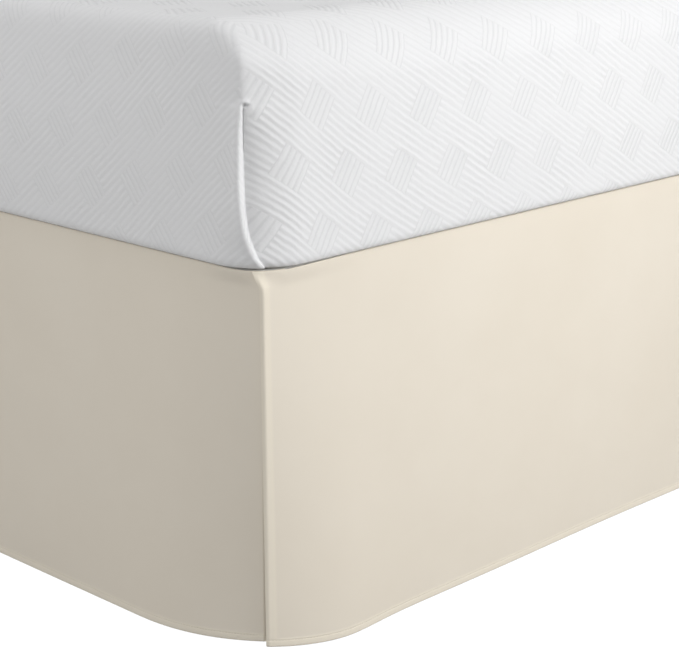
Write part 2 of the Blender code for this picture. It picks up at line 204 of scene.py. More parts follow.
class Look:
    """A node material whose parts are made in short calls."""

    def __init__(self, name, colour, roughness, **settings):
        """settings are the shader's other sockets, with _ for each space in a name."""
        self.material = bpy.data.materials.new(name)
        self.material.use_nodes = True
        self.tree = self.material.node_tree
        self.shader = self.tree.nodes["Principled BSDF"]
        settings.update(Base_Color=(*colour, 1.0), Roughness=roughness)
        for socket, value in settings.items():
            self.shader.inputs[socket.replace("_", " ")].default_value = value

    def done(self, colour, roughness, normal):
        """Plugs the three main sockets, each where it is given, and returns the material."""
        for socket, value in (("Base Color", colour), ("Roughness", roughness), ("Normal", normal)):
            self.plug(value, self.shader.inputs[socket])
        return self.material

    def node(self, kind, **settings):
        made = self.tree.nodes.new(kind)
        for name, value in settings.items():
            setattr(made, name, value)
        return made

    def plug(self, value, socket):
        if isinstance(value, bpy.types.NodeSocket):
            self.tree.links.new(value, socket)
        elif value is not None:
            socket.default_value = value

    def math(self, operation, first, second=None, third=None):
        made = self.node("ShaderNodeMath", operation=operation)
        for value, socket in zip((first, second, third), made.inputs):
            self.plug(value, socket)
        return made.outputs[0]

    def place(self, layer=None):
        """Coordinates: a UV layer by name, or the object's own metres."""
        if layer:
            return self.node("ShaderNodeUVMap", uv_map=layer).outputs["UV"]
        return self.node("ShaderNodeTexCoord").outputs["Object"]

    def noise(self, place, scale, detail=3.0, roughness=0.5):
        made = self.node("ShaderNodeTexNoise")
        self.plug(place, made.inputs["Vector"])
        for name, value in (("Scale", scale), ("Detail", detail), ("Roughness", roughness)):
            made.inputs[name].default_value = value
        return made.outputs["Fac"]

    def split(self, vector):
        made = self.node("ShaderNodeSeparateXYZ")
        self.plug(vector, made.inputs[0])
        return made.outputs

    def stretch(self, place, factors):
        made = self.node("ShaderNodeVectorMath", operation="MULTIPLY")
        self.plug(place, made.inputs[0])
        made.inputs[1].default_value = factors
        return made.outputs[0]

    def blend(self, share, first, second):
        made = self.node("ShaderNodeMix", data_type="RGBA", clamp_factor=True)
        self.plug(share, made.inputs[0])
        for value, socket in ((first, made.inputs[6]), (second, made.inputs[7])):
            self.plug(value if isinstance(value, bpy.types.NodeSocket) else (*value, 1.0), socket)
        return made.outputs[2]

    def ranged(self, value, low, high, to_low=0.0, to_high=1.0, smooth=False):
        made = self.node("ShaderNodeMapRange", interpolation_type="SMOOTHSTEP" if smooth else "LINEAR")
        for item, socket in zip((value, low, high, to_low, to_high), made.inputs[:5]):
            self.plug(item, socket)
        return made.outputs[0]

    def bump(self, height, distance, strength=1.0, below=None):
        made = self.node("ShaderNodeBump")
        made.inputs["Strength"].default_value = strength
        made.inputs["Distance"].default_value = distance
        self.plug(height, made.inputs["Height"])
        if below is not None:
            self.plug(below, made.inputs["Normal"])
        return made.outputs["Normal"]

    def weave(self, place, pitch):
        """Height of a plain weave: threads over and under, pitch metres apart."""
        x, y, _ = self.split(place)
        turn = math.pi / pitch
        warp = self.math("SINE", self.math("MULTIPLY", x, turn))
        weft = self.math("SINE", self.math("MULTIPLY", y, turn))
        over = self.math("MULTIPLY", warp, weft)
        return self.math("MULTIPLY_ADD", over, 0.5, 0.5)


def skirt_look():
    """Brushed plain-weave cream cloth, a little lighter and yellower where the hem is three layers thick."""
    look = Look("skirt_weave", (0.78, 0.72, 0.62), 0.86, Sheen_Weight=0.12, Specular_IOR_Level=0.25)
    place = look.place("UVMap")
    clouds = look.noise(place, 5.5, 4.0, 0.55)
    slub = look.noise(look.stretch(place, (900.0, 60.0, 1.0)), 1.0, 2.0)
    cloth = look.blend(look.ranged(clouds, 0.3, 0.7), SKIRT_DEEP, SKIRT_PALE)
    cloth = look.blend(look.ranged(slub, 0.35, 0.75, 0.0, 0.06), cloth, SKIRT_DEEP)
    folded = look.split(look.place("quilt"))[0]
    cloth = look.blend(look.math("MULTIPLY", folded, HEM_TINT), cloth, HEM_COLOUR)
    normal = look.bump(look.noise(place, 26.0), 0.0004, 0.5)
    normal = look.bump(look.weave(place, 0.00042), 0.00005, 0.8, normal)
    return look.done(cloth, look.ranged(clouds, 0.3, 0.7, 0.83, 0.90), normal)


SKIRT_DEEP = (0.820, 0.748, 0.634)
SKIRT_PALE = (0.850, 0.781, 0.670)
HEM_COLOUR = (0.895, 0.825, 0.695)
HEM_TINT = 0.8

# Basket quilting of the cover: five long channels to a band, crossed by groups of five short ones
CHANNEL = 0.0062
BAND = 5 * CHANNEL
GROUP_PITCH = 0.122
QUILT_RELIEF = 0.00075
LONG_SIDE_RELIEF = 0.55


def quilt_channels(look, place):
    """1 on the crown of a sewn channel, 0 in its stitch line, and 1 where a group of short ones crosses."""
    wobble = look.noise(place, 17.0, 3.0)
    drift = look.noise(place, 90.0, 2.0)
    shift = look.math("MULTIPLY_ADD", wobble, 0.0036, -0.0018)
    shift = look.math("ADD", shift, look.math("MULTIPLY_ADD", drift, 0.0016, -0.0008))
    along, across, _ = look.split(place)
    along = look.math("ADD", along, shift)
    across = look.math("ADD", across, shift)
    band = look.math("FLOOR", look.math("DIVIDE", across, BAND))
    offset = look.math("FRACT", look.math("MULTIPLY", band, 0.5))
    group = look.math("FRACT", look.math("ADD", look.math("DIVIDE", along, GROUP_PITCH), offset))
    crossed = look.math("LESS_THAN", group, BAND / GROUP_PITCH)
    long_share = look.math("FRACT", look.math("DIVIDE", across, CHANNEL))
    short_share = look.math("FRACT", look.math("MULTIPLY", group, GROUP_PITCH / CHANNEL))
    change = look.math("SUBTRACT", short_share, long_share)
    share = look.math("MULTIPLY_ADD", change, crossed, long_share)
    off_middle = look.math("ABSOLUTE", look.math("MULTIPLY_ADD", share, 2.0, -1.0))
    return look.ranged(look.math("SUBTRACT", 1.0, off_middle), 0.0, 1.0, smooth=True), crossed


def cover_look():
    look = Look("quilted_cover", COVER_PALE, 0.82, Sheen_Weight=0.10, Specular_IOR_Level=0.2)
    place = look.place("quilt")
    rounded, crossed = quilt_channels(look, place)
    height = look.math("MULTIPLY", rounded, look.math("MULTIPLY_ADD", crossed, 0.34, 0.66))
    clouds = look.noise(look.place(), 4.0, 3.0)
    worn = look.noise(look.place(), 21.0, 3.0, 0.6)
    fabric = look.blend(look.ranged(clouds, 0.3, 0.7), COVER_DEEP, COVER_PALE)

    # The cover is pulled tighter along the long sides, so its quilting is flatter there
    sideways = look.math("ABSOLUTE", look.split(look.place())[0])
    pulled = look.ranged(sideways, HALF_WIDTH - 0.016, HALF_WIDTH - 0.004, 1.0, LONG_SIDE_RELIEF)
    # Painted shade: the stitch lines are coloured darker, most where the short channels cross and less on the
    # long sides, as shade in the quilting's grooves
    groove_shade = look.ranged(rounded, 0.0, 0.45, 1.0, 0.0, smooth=True)
    groove_shade = look.math("MULTIPLY", groove_shade, look.math("MULTIPLY_ADD", crossed, 0.60, 0.40))
    groove_shade = look.math("MULTIPLY", groove_shade, pulled)
    colour = look.blend(groove_shade, fabric, COVER_GROOVE_SHADE)
    relief = look.math("MULTIPLY", height, look.ranged(worn, 0.3, 0.65, 0.2, 1.0))
    relief = look.math("MULTIPLY", relief, pulled)
    crinkle = look.noise(look.stretch(place, (260.0, 330.0, 1.0)), 1.0, 3.0, 0.6)
    normal = look.bump(look.noise(place, 75.0, 4.0, 0.6), 0.0009, 0.6)
    normal = look.bump(relief, QUILT_RELIEF, 1.0, normal)
    normal = look.bump(crinkle, 0.00042, 0.6, normal)
    normal = look.bump(look.weave(place, 0.0004), 0.00004, 0.6, normal)
    return look.done(colour, look.ranged(height, 0.0, 1.0, 0.88, 0.80), normal)


COVER_DEEP = (0.826, 0.827, 0.835)
COVER_PALE = (0.846, 0.847, 0.852)
# The colour of the painted shade in the quilting's stitch lines
COVER_GROOVE_SHADE = (0.764, 0.765, 0.771)


def plain_cloth_look(name, deep, pale, pitch):
    look = Look(name, pale, 0.9, Sheen_Weight=0.08, Specular_IOR_Level=0.2)
    place = look.place("UVMap")
    clouds = look.noise(place, 6.0, 4.0)
    threads = look.weave(place, pitch)
    colour = look.blend(look.ranged(clouds, 0.3, 0.7), deep, pale)
    # Painted shade: the weave's low places, where a thread dips under its neighbour, are coloured up to 16%
    # towards the deeper tone
    colour = look.blend(look.ranged(threads, 0.0, 1.0, 0.16, 0.0), colour, deep)
    return look.done(colour, look.ranged(clouds, 0.3, 0.7, 0.86, 0.9), look.bump(threads, pitch * 0.15, 0.8))


def thread_look(colour):
    look = Look("skirt_thread", colour, 0.55, Sheen_Weight=0.2)
    twist = look.noise(look.stretch(look.place(), (1200.0, 1200.0, 4000.0)), 1.0, 2.0)
    mixed = look.blend(look.ranged(twist, 0.35, 0.65), tuple(0.86 * part for part in colour), colour)
    return look.done(mixed, None, look.bump(twist, 0.00005, 0.5))


def painted_metal_look():
    look = Look("powder_coated_steel", (0.055, 0.056, 0.060), 0.48, Specular_IOR_Level=0.45)
    place = look.place()
    grain = look.noise(place, 900.0, 3.0, 0.6)
    rub = look.noise(place, 9.0, 4.0, 0.6)
    colour = look.blend(look.ranged(rub, 0.35, 0.75), (0.040, 0.041, 0.044), (0.075, 0.076, 0.080))
    return look.done(colour, look.ranged(rub, 0.3, 0.7, 0.42, 0.56), look.bump(grain, 0.00025, 0.5))


def moulded_plastic_look():
    look = Look("moulded_plastic", (0.030, 0.030, 0.031), 0.5)
    place = look.place()
    grain = look.noise(place, 1400.0, 2.0)
    scuffs = look.noise(look.stretch(place, (30.0, 30.0, 90.0)), 1.0, 5.0, 0.65)
    colour = look.blend(look.ranged(scuffs, 0.5, 0.8), (0.026, 0.026, 0.027), (0.062, 0.061, 0.060))
    return look.done(colour, look.ranged(scuffs, 0.4, 0.8, 0.45, 0.65), look.bump(grain, 0.0002, 0.5))


# The skirt's panels, on the course of the solids


def resampled(line, distances, values=None):
    """A line's own points, or values given for them, at distances along the line."""
    values = np.array(line if values is None else values)
    return np.stack([np.interp(distances, running(line), column) for column in values.T], axis=1)


def top_line(end_angle, step, far):
    """The upper edge from the split, as (across, along, height): round the deck's corner, then straight."""
    middle = OVERHANG + DECK_CORNER
    radius = DECK_CORNER + CLEARANCE + SOLID_CLOTH / 2 + step
    line = []
    for angle in np.linspace(end_angle, 0.0, LINE_STEPS):
        line.append((middle - radius * math.cos(angle), middle - radius * math.sin(angle), PANEL_TOP))
    for share in np.linspace(0.0, 1.0, LINE_STEPS)[1:]:
        line.append((middle - radius + step * eased(share), middle + LAP_SETTLE * share, PANEL_TOP))
    return line + [(line[-1][0], far, PANEL_TOP)]


def turned_end(line, lengths, turns):
    """Puts points before a line's first, each a length on along a heading that turns in from the line's."""
    point = np.array(line[0])
    made = []
    for length, turn in zip(lengths, turns):
        point = point + length * np.array((math.sin(turn), -math.cos(turn), 0.0))
        made.insert(0, tuple(point))
    return made + line


def lapped(line, turns):
    return turned_end(line, [LAP / len(turns)] * len(turns), turns)


def wrapped(line, end, turn):
    """A line whose free end bends round by the turn, from the line's own slope, and runs on a little."""
    _, _, reach, depth, power, _ = end
    slope = math.atan(power * depth / reach)
    arc = turn / BEND_STEPS
    turns = [slope + arc * (step + 0.5) for step in range(BEND_STEPS)] + [slope + turn]
    return turned_end(line, [BEND_RADIUS * arc] * BEND_STEPS + [WRAP], turns)


def end_line(end, height, far):
    """A panel's line at a height in the same frame, turned in towards the split and risen there."""
    plane, start, reach, depth, power, rise = end
    line = []
    for share in np.linspace(0.0, 1.0, LINE_STEPS):
        left = 1 - share
        line.append((plane + depth * left**power, start + reach * share, height + rise * left * left))
    line += [(plane, along, height) for along in np.linspace(start + reach, BENT_LENGTH, LINE_STEPS)[1:]]
    return line + [(plane, far, height)]


def bulged(line):
    """The foot's hem stands out a little beside the split."""
    centre, width, depth = FOOT_BULGE
    return [(out - depth * hump(along, centre, width), along, height) for out, along, height in line]


def wave(name, distance, from_split):
    fade = eased((from_split - WAVE_START) / WAVE_FADE)
    turn = 2 * math.pi * distance
    return fade * sum(depth * np.sin(turn / length + phase) for length, depth, phase in WAVES[name])


def end_columns(lines, distances, lap, length):
    """An end's columns on each line, the same share of the way along every line."""
    share = (distances + lap) / (length + lap)
    return [resampled(line, share * running(line)[-1]) for line in lines]


BEND_END = 0.004
FINE_STEP = 0.0030
FINE_LENGTH = 0.72
WIDE_STEP = 0.0070
ROW_STEP = 0.0070


def fine_steps(start, length):
    """Close columns at the bend and where the hem's puckers show, and wider ones beyond."""
    bend = np.arange(start, BEND_END, 0.0005 if start > -0.01 else 0.0010)
    near = np.arange(BEND_END, FINE_LENGTH, FINE_STEP)
    far = np.linspace(FINE_LENGTH, length, max(2, round((length - FINE_LENGTH) / WIDE_STEP)))
    return np.concatenate([bend, near, far])


def rows_down(drop):
    """Shares of the drop, close together at the hem and at the shoulder under the sewn edge."""
    up = [0.0, 0.0005, 0.0012, 0.0024, 0.0038, 0.0050, 0.0057, 0.0061, 0.0064, 0.0067, 0.0071, 0.0077]
    up += [0.0082, 0.0088, 0.0100, 0.0120, 0.0150, 0.0190]
    while up[-1] < drop - 0.030:
        up.append(up[-1] + ROW_STEP)
    below = (0.024, 0.020, 0.017, 0.0145, 0.0125, 0.0105, 0.0085, 0.0068, 0.0051, 0.0035, 0.0022, 0.0011)
    up += [drop - depth for depth in below + (0.0004, 0.0)]
    return 1 - np.array(sorted(set(up)))[::-1] / drop


# Soft creases of each panel: distance from the split and drop at one end, the same at the other,
# width and depth, all in metres. A negative depth is a trough.
CREASES = {
    "side_panel_left": (
        (0.62, 0.10, 0.14, 0.30, 0.020, -0.00035),
        (0.50, 0.06, 0.20, 0.22, 0.016, 0.00028),
        (0.74, 0.16, 0.30, 0.33, 0.024, 0.00032),
        (0.33, 0.05, 0.10, 0.17, 0.013, -0.00022),
        (1.30, 0.08, 0.98, 0.29, 0.030, -0.00060),
        (1.62, 0.10, 1.46, 0.32, 0.026, 0.00055),
    ),
    "side_panel_right": (
        (0.58, 0.08, 0.19, 0.31, 0.022, -0.00038),
        (0.86, 0.12, 0.52, 0.30, 0.026, 0.00045),
        (1.22, 0.06, 1.05, 0.30, 0.028, -0.00055),
        (1.70, 0.09, 1.42, 0.27, 0.024, 0.00048),
    ),
    "foot_panel": (
        (0.07, 0.04, 0.33, 0.21, 0.018, -0.00028),
        (0.14, 0.03, 0.52, 0.20, 0.022, 0.00030),
        (0.10, 0.14, 0.30, 0.33, 0.020, 0.00024),
        (0.42, 0.10, 0.70, 0.27, 0.026, -0.00036),
        (1.02, 0.06, 0.84, 0.31, 0.026, 0.00045),
        (1.36, 0.05, 1.15, 0.25, 0.020, -0.00035),
    ),
}
CREASE_START = 0.05
CREASE_SWAY = 0.006


def creases(name, distance, drop, from_split):
    """Outward offset of the soft creases at every point of a panel's grid."""
    total = np.zeros(np.broadcast(distance, drop).shape)
    for first, high, last, low, width, depth in CREASES[name]:
        line = np.array((last - first, low - high))
        length = np.linalg.norm(line)
        line = line / length
        along = (distance - first) * line[0] + (drop - high) * line[1]
        across = (distance - first) * line[1] - (drop - high) * line[0]
        across = across + CREASE_SWAY * np.sin(along * 21 + first * 40)
        share = along / length
        total += depth * eased(2 * share + 0.5) * eased(2.5 - 2 * share) * hump(across, 0.0, width)
    return total * eased((from_split - CREASE_START) / 0.05)


def ripple(name, distance):
    """Uneven small puckers along a stitch line, about -1 to 1."""
    seed = {"side_panel_left": 0.3, "side_panel_right": 1.7, "foot_panel": 2.9}[name]
    pull = 0.55 * np.sin(distance * 620 + 2.3 * np.sin(distance * 47 + seed) + seed)
    pull += 0.30 * np.sin(distance * 987 + 1.7 * np.sin(distance * 71 + 2 * seed))
    pull += 0.35 * np.sin(distance * 233 + 2.1 * np.sin(distance * 19 + seed))
    return pull * (0.65 + 0.35 * np.sin(distance * 31 + 3 * seed))


def panel_points(name):
    """(points, distances, distances from the nearer split, drops, outward) of a panel's middle surface."""
    rows = rows_down(DROP)
    if name == "foot_panel":
        wrap = BEND_RADIUS * HANGING_BEND + WRAP
        seam_radius = DECK_CORNER + CLEARANCE + SOLID_CLOTH / 2 + LAP_STEP
        lines = (
            top_line(SPLIT_ANGLE + wrap / seam_radius, LAP_STEP, HALF_WIDTH),
            wrapped(end_line(FOOT_HANG, PANEL_TOP, HALF_WIDTH), FOOT_HANG, HANGING_BEND),
            wrapped(bulged(end_line(FOOT_END, HEM_FLOOR, HALF_WIDTH)), FOOT_END, HEM_BEND),
        )
        half_length = HALF_WIDTH - OVERHANG
        steps = fine_steps(-wrap, half_length)
        shift = np.array((-HALF_WIDTH, -HALF_LENGTH, 0.0))
        mirror = np.array((-1.0, 1.0, 1.0))
        made = [line[:, [1, 0, 2]] + shift for line in end_columns(lines, steps, wrap, half_length)]
        seams, tops, hems = (np.concatenate([line, line[-2::-1] * mirror]) for line in made)
        from_split = np.concatenate([steps, steps[-2::-1]])
        distance = np.concatenate([steps, 2 * half_length - steps[-2::-1]])
        depth = wave(name, tops[:, 0], from_split)
        outward = np.array((0.0, -1.0, 0.0))
    else:
        side = -1 if name == "side_panel_left" else 1
        far = 2 * HALF_LENGTH - OVERHANG
        lines = (
            top_line(SPLIT_ANGLE + LAP / (DECK_CORNER + CLEARANCE), 0.0, far),
            lapped(end_line(SIDE_HANG, PANEL_TOP, far), HANGING_LAP_TURNS),
            lapped(end_line(SIDE_END, HEM_FLOOR, far), HEM_LAP_TURNS[::-1]),
        )
        distance = fine_steps(-LAP, far - OVERHANG)
        seams, tops, hems = (
            np.stack([side * (HALF_WIDTH - p[:, 0]), p[:, 1] - HALF_LENGTH, p[:, 2]], axis=1)
            for p in end_columns(lines, distance, LAP, far - OVERHANG)
        )
        from_split = distance
        depth = wave(name, distance, from_split)
        outward = np.array((float(side), 0.0, 0.0))
    share = rows[None, :, None]
    points = tops[:, None] + (hems - tops)[:, None] * share
    points = points + outward * depth[:, None, None] * share**WAVE_GROWTH
    points = points + (seams - tops)[:, None] * (1 - eased(share * DROP / SHOULDER))
    drops = DROP * rows
    extra = creases(name, distance[:, None], drops[None, :], from_split[:, None])
    points = points + outward * extra[..., None]
    return points, distance, from_split, drops, outward


def panel(name, piece_name, look):
    """A closed sheet with a double hem below, narrow hems at its free ends and puckers at the stitches."""
    points, distance, from_split, drops, outward = panel_points(name)
    normals = facing(points, outward)
    rise = DROP - drops
    in_hem = 1 - eased((rise - (HEM_HEIGHT - 0.0003)) / HEM_BLEND)
    in_side = 1 - eased((from_split - SIDE_HEM - (0 if name == "foot_panel" else distance[0])) / SIDE_BLEND)
    folded = np.maximum(in_hem, in_side[:, None])
    seam = hump(rise, STITCH_RISE, SEAM_WIDTH)
    pull = PUCKER * ripple(name, distance)[:, None] * hump(rise, STITCH_RISE, PUCKER_WIDTH)
    outer = CLOTH / 2 + HEM_OUTER * folded - STITCH_GROOVE * seam + pull
    bent = 1 - 0.5 * hump(from_split, 0.0, 0.005)[:, None]
    inner = CLOTH / 2 + np.maximum(HEM_INNER * bent * in_hem, SIDE_HEM_INNER * in_side[:, None])
    lower_roll = 1 - 0.55 * hump(rise, 0.0, 0.0006)
    front = points + normals * (outer * lower_roll)[..., None]
    back = points - normals * (inner * lower_roll)[..., None]

    # A rim of two strips joins the faces, its middle line a little outside the grid's edge
    columns, rows = points.shape[:2]
    count = columns * rows
    loop = [(i, 0) for i in range(columns)] + [(columns - 1, j) for j in range(1, rows)]
    loop += [(i, rows - 1) for i in range(columns - 2, -1, -1)] + [(0, j) for j in range(rows - 2, 0, -1)]
    i, j = np.array(loop).T
    index = i * rows + j
    edge = points[i, j]
    outwards = edge - points[np.clip(i, 1, columns - 2), np.clip(j, 1, rows - 2)]
    middle = edge + unit(outwards) * RIM  # its vertices come after the two faces'
    middles = 2 * count + np.arange(len(loop))
    next_index, next_middles = np.roll(index, -1), np.roll(middles, -1)
    quads = np.concatenate([
        grid_quads(columns, rows),
        count + grid_quads(columns, rows)[:, ::-1],
        np.stack([index, middles, next_middles, next_index], axis=1),
        np.stack([middles, index + count, next_index + count, next_middles], axis=1),
    ])
    flat = np.stack(np.broadcast_arrays(distance[:, None], -drops[None, :]), axis=2).reshape(-1, 2)
    tint = np.stack([folded, np.zeros_like(folded)], axis=2).reshape(-1, 2)
    uvs, tints = (np.concatenate([values, values, values[index]]) for values in (flat, tint))
    vertices = np.concatenate([front.reshape(-1, 3), back.reshape(-1, 3), middle])
    made = face_up(build_mesh(piece_name, vertices, quads, look, uvs, second_uvs=tints))
    return made, front, rise, outward


STITCH_PITCH = 0.0031
STITCH_LENGTH = 0.0023
STITCH_WIDTH = 0.00050
STITCH_LIFT = 0.00010
# Along a stitch: place, share of the width
STITCH_PROFILE = ((-0.5, 0.0), (-0.36, 0.75), (0.0, 1.0), (0.36, 0.75), (0.5, 0.0))
STITCH_SIDES = 6


def hem_stitches(name, front, rise, outward, look):
    """Short lens-shaped threads along the hem's stitch line, each lying on the cloth."""
    row = int(np.argmin(np.abs(rise - STITCH_RISE)))
    line, normals = front[:, row], facing(front, outward)[:, row]
    marks = np.arange(STITCH_PITCH, running(line)[-1] - STITCH_PITCH, STITCH_PITCH)
    behind, ahead = (resampled(line, marks + way * STITCH_LENGTH / 2) for way in (-1, 1))
    out = resampled(line, marks, normals)
    run = ahead - behind
    side = unit(np.cross(out, run))
    place, width = np.array(STITCH_PROFILE).T[..., None]
    centres = behind[:, None] + run[:, None] * (place + 0.5) + out[:, None] * STITCH_LIFT * width
    angles = np.linspace(0, 2 * math.pi, STITCH_SIDES, endpoint=False)[:, None]
    rounds = side[:, None] * np.cos(angles) + out[:, None] * 0.7 * np.sin(angles)
    sizes = STITCH_WIDTH / 2 * np.maximum(width, 0.12)
    vertices = centres[:, None] + rounds[:, :, None] * sizes
    rings = len(STITCH_PROFILE)
    starts = np.arange(len(marks)) * STITCH_SIDES * rings
    quads = starts[:, None, None] + grid_quads(STITCH_SIDES, rings, closed=True)
    caps = [start + np.array(cap) for start in starts for cap in ring_caps(STITCH_SIDES, rings)]
    return face_up(build_mesh(name, vertices, quads, look, caps=caps))


# The mattress in its quilted cover

# The fold at each foot corner: height, degrees from the side's normal towards the foot's
FOLD_COURSE = (
    (0.3640, 53.0), (0.3665, 51.5), (0.3755, 43.0), (0.3963, 35.1), (0.4153, 32.5), (0.4413, 31.3),
    (0.4672, 31.8), (0.4900, 33.0), (0.5070, 34.5), (0.5400, 34.5), (0.5800, 38.0),
)
COURSE_BLUR = 0.006
# How far the side's flat cloth stands out from the round corner at the fold: height, distance
FLAT_REACH = (
    (0.3640, 0.0008), (0.3755, 0.0035), (0.3963, 0.0075), (0.4200, 0.0100),
    (0.5000, 0.0110), (0.5380, 0.0112), (0.5620, 0.0010), (0.5700, 0.0),
)
CORNER_END = 76.0  # degrees at which the foot's own side begins
EDGE_ROUND = 0.0040
ARCH_LEVEL = 0.5045
ARCH_RADIUS = 0.0034
ROLL_RADIUS = 0.0042
FULL_REACH = 0.011
ARCH_BAND = 0.012  # the arch's effect ends this far above its level
SLIT_EDGE = 0.0012  # how far the side's cloth stands past the fold
POCKET_DEPTH = 0.0040  # of the foot's cloth behind the side's
POCKET_LENGTHS = (0.007, 0.046)  # at the arch and further down
# Shares of the turn on the fold's own side and on its other side, and in a corner with no fold
CLOSE_SHARES = (
    0.009, 0.018, 0.027, 0.037, 0.048, 0.060, 0.073, 0.088, 0.105, 0.125,
    0.15, 0.185, 0.23, 0.29, 0.36, 0.45, 0.56, 0.70, 0.85,
)
BESIDE_SHARES = (
    0.005, 0.010, 0.015, 0.020, 0.026, 0.032, 0.039, 0.047, 0.057, 0.070, 0.088,
    0.11, 0.14, 0.18, 0.23, 0.29, 0.36, 0.44, 0.54, 0.65, 0.77, 0.89,
)
PLAIN_SHARES = (0.12, 0.25, 0.38, 0.52, 0.68, 0.84)
SIDE_SPACING = 0.0130
SIDE_FULLNESS = 7  # how far along a side its bulge stays whole
SMALLEST_CORNER = 0.004


def smoothed_course():
    """The fold's course on levels a millimetre apart, without kinks."""
    fine = np.arange(0.330, 0.620, 0.001)
    kernel = hump(np.arange(-15, 16) * 0.001, 0.0, COURSE_BLUR)
    padded = np.pad(np.interp(fine, *zip(*FOLD_COURSE)), 15, mode="edge")
    return fine, np.convolve(padded, kernel / kernel.sum(), mode="valid")


COURSE = smoothed_course()


def fold_angle(height):
    return np.interp(height, *COURSE)


def ring_plan():
    """Columns round a rectangle: (kind, corner, share), -1 to 1 in a turn and 0 to 1 on the side after it."""
    plan = []
    for corner in range(4):
        beside_fold = {0: (BESIDE_SHARES, CLOSE_SHARES), 3: (CLOSE_SHARES, BESIDE_SHARES)}
        before, after = beside_fold.get(corner, (PLAIN_SHARES, PLAIN_SHARES))
        shares = [-1.0, *(-share for share in reversed(before)), 0.0, *after, 1.0]
        plan += [("turn", corner, share) for share in shares]
        length = 2 * (HALF_LENGTH if corner % 2 == 0 else HALF_WIDTH) - 2 * MATTRESS_CORNER
        steps = round(length / SIDE_SPACING)
        plan += [("side", corner, step / steps) for step in range(1, steps)]
    return plan


CORNER_SIGNS = ((1, -1), (1, 1), (-1, 1), (-1, -1))
FIRST_ANGLES = (-90, 0, 90, 180)


def corner_and_side(corner, half_x, half_y, radius):
    """A corner's centre, and the start, end and outward direction of the straight side after it."""
    centre, other = (
        np.array((sign_x * (half_x - radius), sign_y * (half_y - radius)))
        for sign_x, sign_y in (CORNER_SIGNS[corner], CORNER_SIGNS[(corner + 1) % 4])
    )
    angle = math.radians(FIRST_ANGLES[corner] + 90)
    direction = np.array((round(math.cos(angle)), round(math.sin(angle))))
    return centre, centre + radius * direction, other + radius * direction, direction


def ring_points(plan, half_x, half_y, radius, height, bows):
    """Points (n, 2), outward directions and degrees into the turn of one level; bows are for x and y."""
    radius = max(radius, SMALLEST_CORNER)
    sides = [corner_and_side(corner, half_x, half_y, radius) for corner in range(4)]
    fold = fold_angle(height)
    middles = (-fold, 45, 135, 180 + fold)  # of each turn: the fold, where the corner has one
    points, outward, turned = [], [], []
    for kind, corner, share in plan:
        centre, start, end, direction = sides[corner]
        if kind == "turn":
            first, middle = FIRST_ANGLES[corner], middles[corner]
            degrees = middle + share * (middle - first if share < 0 else first + 90 - middle) - first
            angle = math.radians(first + degrees)
            direction = np.array((math.cos(angle), math.sin(angle)))
            points.append(centre + radius * direction)
            turned.append(90 - degrees if corner == 0 else degrees)
        else:
            bulge = bows[corner % 2] * (1 - abs(2 * share - 1) ** SIDE_FULLNESS)
            points.append(start + share * (end - start) + direction * bulge)
            turned.append(0.0)
        outward.append(direction)
    return np.array(points), np.array(outward), np.array(turned)


def corner_offset(turned, distance, height):
    """Outward offset at a foot corner: the side's cloth lies flat up to the fold, the foot's turns behind it.

    turned is in degrees from the side's normal, and distance runs along the turn, more towards the foot.
    """
    edge = fold_angle(height)
    reach = np.interp(height, *zip(*FLAT_REACH))
    flat = (1 / np.cos(np.radians(np.minimum(turned, 60.0))) - 1) / (1 / math.cos(math.radians(edge)) - 1)
    beyond = np.clip((CORNER_END - turned) / (CORNER_END - edge), 0.0, 1.0) ** 1.8
    full = reach * np.where(distance < 0, flat, beyond)
    rounding = 0.65 * (np.sqrt(distance**2 + EDGE_ROUND**2) - np.abs(distance)) * min(reach / FULL_REACH, 1.0)
    above = full - rounding
    down = ARCH_LEVEL - height
    if down < -ARCH_BAND:
        return above

    # Below the arch the side's cloth ends in a round edge, with the foot's cloth set back behind it
    lower = eased((down - 0.026) / 0.022)
    low_end = eased((down - 0.100) / 0.030)
    wide = SLIT_EDGE + 0.0004 * lower
    from_edge = np.clip((distance - wide + ROLL_RADIUS) / ROLL_RADIUS, 0.0, 1.0)
    side = reach * flat - ROLL_RADIUS * (1 - np.sqrt(1 - from_edge**2))
    side += 0.0007 * hump(distance, wide - ROLL_RADIUS, 0.0035)
    shortest, longest = POCKET_LENGTHS
    length = min(max(shortest + 0.75 * down, shortest), longest) + 0.010 * low_end
    depth = min(POCKET_DEPTH - 0.0010 * lower - 0.0012 * low_end, 0.28 * length)
    behind = reach * beyond * (1 - eased(down / 0.060))
    behind = behind - depth * np.clip(1 - (distance - wide) / length, 0.0, 1.0) ** 2
    behind -= 0.0013 * (1 - lower) * hump(distance, wide + 0.0006, 0.0008)
    share = eased((distance - wide + 0.0001) / 0.0005)
    below = side * (1 - share) + np.minimum(behind, reach) * share

    # The arch: the roll turns over to the foot's side and fades
    radius = np.hypot(distance - (wide - ROLL_RADIUS * 0.4) - ARCH_RADIUS, height - ARCH_LEVEL)
    fade = 1 - eased((distance - wide - ARCH_RADIUS) / (1.6 * ARCH_RADIUS))
    arch = 0.0022 * hump(radius, ARCH_RADIUS, 0.0019) * fade
    arch -= 0.0045 * hump(radius, 0.0, 0.0022)
    share = eased((down + 0.0020) / 0.0040)
    return (above + arch) * (1 - share) + below * share


TOP_TURN = 0.055
SQUARENESS = (6.5, 2.0)  # of the top edge's turn on the long sides, and at the foot and head
